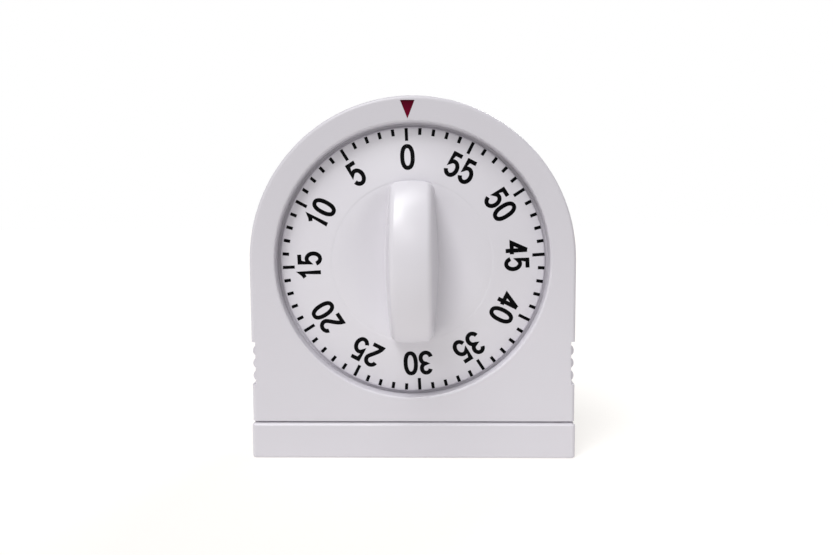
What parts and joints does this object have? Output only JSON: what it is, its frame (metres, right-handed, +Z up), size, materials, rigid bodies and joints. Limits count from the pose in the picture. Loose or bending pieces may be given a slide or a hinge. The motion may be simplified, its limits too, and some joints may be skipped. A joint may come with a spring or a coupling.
{
  "type": "mechanical countdown timer",
  "caption": "Arched free-standing kitchen countdown timer: turn dial with a bow-shaped grip in a round well, red pointer above it, side grips and a plinth; clockwork with bell inside.",
  "frame": {"origin": "middle of the flat underside of the plinth, half way through the case depth", "axes": "+Z up, the dial faces -Y, +X to the right of someone who looks at the dial"},
  "size_m": [0.1006, 0.0535, 0.1114],
  "materials": {
    "case_plastic": "fine satin moulded surface, off-white",
    "dial_plastic": "satin moulded surface with printed black numbers and ticks",
    "pointer_red": "smooth dark red",
    "brass": "stamped and brushed",
    "steel": "turned",
    "plated_steel": "zinc plated",
    "spring_steel": "blued strip",
    "bell_steel": "polished nickel plate"
  },
  "bodies": {
    "case": {"front_housing": "case_plastic", "rear_cover": "case_plastic", "base_plinth": "case_plastic", "pointer_insert": "pointer_red", "cover_screws": "plated_steel", "base_screws": "plated_steel", "movement_screws": "plated_steel", "front_plate": "brass", "rear_plate": "brass", "pillars": "steel", "pillar_nuts": "plated_steel", "spring_barrel": "plated_steel", "mainspring": "spring_steel", "bell_post": "steel", "bell": "bell_steel", "bell_nut": "plated_steel", "lever_stud": "steel", "stop_post": "steel", "hammer_spring": "spring_steel"},
    "dial": {"dial_knob": "dial_plastic", "main_arbor": "steel", "great_wheel": "brass", "clutch_spring": "spring_steel", "snail_cam": "brass", "stop_pin": "steel"},
    "second_train": {"second_arbor": "steel", "second_wheel": "brass"},
    "third_train": {"third_arbor": "steel", "third_wheel": "brass", "strike_star": "steel"},
    "escape_train": {"escape_arbor": "steel", "escape_wheel": "brass"},
    "anchor_rocker": {"anchor_arbor": "steel", "anchor": "steel", "rocker_weight": "brass"},
    "ring_lever_body": {"ring_lever": "steel"},
    "hammer": {"hammer_arbor": "steel", "hammer_tail": "steel", "hammer_arm": "spring_steel", "hammer_head": "brass"}
  },
  "joints": [
    {"name": "dial_turn", "type": "hinge", "parent": "case", "child": "dial", "pos_m": [0, 0.002, 0.0614], "axis": [0, 1, 0], "range_deg": [0, 354], "deforming": ["mainspring"]},
    {"name": "second_turn", "type": "hinge", "parent": "case", "child": "second_train", "pos_m": [0.01605, 0.002, 0.04695], "axis": [0, 1, 0], "continuous": true},
    {"name": "third_turn", "type": "hinge", "parent": "case", "child": "third_train", "pos_m": [0.00064, 0.002, 0.03976], "axis": [0, 1, 0], "continuous": true},
    {"name": "escape_turn", "type": "hinge", "parent": "case", "child": "escape_train", "pos_m": [-0.01326, 0.002, 0.04349], "axis": [0, 1, 0], "continuous": true},
    {"name": "anchor_rock", "type": "hinge", "parent": "case", "child": "anchor_rocker", "pos_m": [-0.02173, 0.002, 0.05059], "axis": [0, 1, 0], "range_deg": [-6, 6]},
    {"name": "ring_lever_turn", "type": "hinge", "parent": "case", "child": "ring_lever_body", "pos_m": [0.02089, 0.002, 0.05394], "axis": [0, 1, 0], "range_deg": [-9, 0]},
    {"name": "hammer_swing", "type": "hinge", "parent": "case", "child": "hammer", "pos_m": [0.019, 0.002, 0.0304], "axis": [0, -1, 0], "range_deg": [-2.12, 2.12], "stiffness_Nm_per_rad": 0.05, "deforming": ["hammer_spring"]}
  ],
  "couplings": [
    {"joint": "second_turn", "follows": "dial_turn", "ratio": -8},
    {"joint": "third_turn", "follows": "dial_turn", "ratio": 60},
    {"joint": "escape_turn", "follows": "dial_turn", "ratio": -420},
    {"joint": "ring_lever_turn", "follows": "dial_turn", "ratio": -0.024278}
  ]
}
